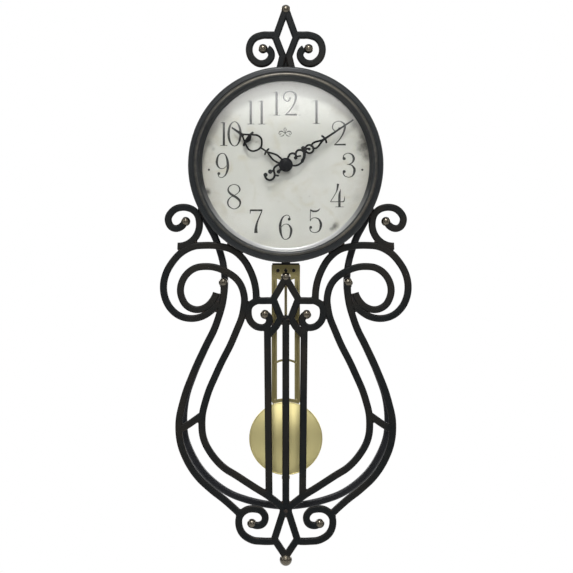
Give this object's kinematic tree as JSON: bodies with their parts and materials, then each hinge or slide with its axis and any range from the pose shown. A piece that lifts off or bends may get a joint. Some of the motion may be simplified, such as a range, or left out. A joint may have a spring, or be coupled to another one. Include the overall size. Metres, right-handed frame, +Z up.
{
  "type": "pendulum wall clock",
  "caption": "Wall clock with a round domed-glass dial in a lyre-shaped wrought-iron frame of scrolled square bar, and a brass pendulum that swings behind the frame's strings",
  "frame": {"origin": "centre of the keyhole hanger's round hole, on the wall plane behind the drum", "axes": "+Z up, +X to the right seen from the front, +Y into the wall; the dial faces -Y"},
  "size_m": [0.34, 0.0587, 0.7582],
  "materials": {
    "wrought_iron": "dark bronze paint over wrought iron, rubbed brown on its edges",
    "black_iron": "plain black paint",
    "bronze_ball": "antique bronze, glossy",
    "case_metal": "satin black paint",
    "bezel_metal": "dark bronze with a rubbed ridge",
    "zinc_steel": "zinc plated",
    "clear_glass": "clear, slightly domed",
    "dial_paper": "printed cream paper on metal, aged",
    "black_plastic": "moulded, matte",
    "battery_wrap": "printed sleeve, plain",
    "board_green": "circuit board",
    "copper_wire": "enamelled copper",
    "gear_nylon": "natural nylon",
    "brass_sheet": "satin antique brass",
    "bob_brass": "satin brass",
    "hand_black": "black enamel",
    "cap_black": "glossy black"
  },
  "bodies": {
    "case": {"finial_bar_left": "wrought_iron", "finial_bar_right": "wrought_iron", "finial_scroll_left": "wrought_iron", "finial_scroll_right": "wrought_iron", "side_scroll_left": "wrought_iron", "side_scroll_right": "wrought_iron", "big_scroll_left": "wrought_iron", "big_scroll_right": "wrought_iron", "inner_lyre_left": "wrought_iron", "inner_lyre_right": "wrought_iron", "outer_lyre_left": "wrought_iron", "outer_lyre_right": "wrought_iron", "crest_bar_left": "wrought_iron", "crest_bar_right": "wrought_iron", "crest_scroll_left": "wrought_iron", "crest_scroll_right": "wrought_iron", "drop_bar_left": "wrought_iron", "drop_bar_right": "wrought_iron", "drop_scroll_left": "wrought_iron", "drop_scroll_right": "wrought_iron", "string_left": "wrought_iron", "string_right": "wrought_iron", "string_middle": "wrought_iron", "lyre_struts": "wrought_iron", "finial_gusset": "wrought_iron", "finial_balls": "bronze_ball", "side_balls": "bronze_ball", "middle_balls": "bronze_ball", "drop_balls": "bronze_ball", "rear_loop": "black_iron", "spacer_studs": "black_iron", "drum": "case_metal", "bezel": "bezel_metal", "back_cover": "case_metal", "hanger_plate": "zinc_steel", "cover_screws": "zinc_steel", "glass": "clear_glass", "dial_ring": "bezel_metal", "dial": "dial_paper", "movement_case": "black_plastic", "movement_cover": "black_plastic", "battery": "battery_wrap", "battery_contacts": "zinc_steel", "circuit_board": "board_green", "clock_motor": "black_plastic", "drive_coil": "copper_wire", "fixing_nut": "brass_sheet"},
    "minute_arbor": {"centre_wheel": "gear_nylon", "minute_hand": "hand_black", "hand_cap": "cap_black"},
    "hour_arbor": {"hour_wheel": "gear_nylon", "hour_hand": "hand_black"},
    "setting_arbor": {"minute_wheel": "gear_nylon", "set_knob": "black_plastic"},
    "pendulum": {"pendulum_leader": "black_plastic", "pendulum_frame": "brass_sheet", "pendulum_rod": "brass_sheet", "bob_front": "bob_brass", "bob_back": "brass_sheet"},
    "nut": {"rating_nut": "brass_sheet"}
  },
  "joints": [
    {"name": "minute_turn", "type": "hinge", "parent": "case", "child": "minute_arbor", "pos_m": [0, -0.045, -0.098], "axis": [0, 1, 0], "continuous": true},
    {"name": "hour_turn", "type": "hinge", "parent": "case", "child": "hour_arbor", "pos_m": [0, -0.044, -0.098], "axis": [0, 1, 0], "continuous": true},
    {"name": "setting_turn", "type": "hinge", "parent": "case", "child": "setting_arbor", "pos_m": [0.0144, -0.025, -0.098], "axis": [0, 1, 0], "continuous": true},
    {"name": "pendulum_swing", "type": "hinge", "parent": "case", "child": "pendulum", "pos_m": [0, -0.01025, -0.073], "axis": [0, 1, 0], "range_deg": [-6, 6]},
    {"name": "nut_turn", "type": "hinge", "parent": "pendulum", "child": "nut", "pos_m": [0, -0.0096, -0.5236], "axis": [0, 0, 1], "continuous": true}
  ],
  "couplings": [
    {"joint": "hour_turn", "follows": "minute_turn", "ratio": 0.083333},
    {"joint": "setting_turn", "follows": "minute_turn", "ratio": -0.33333}
  ]
}
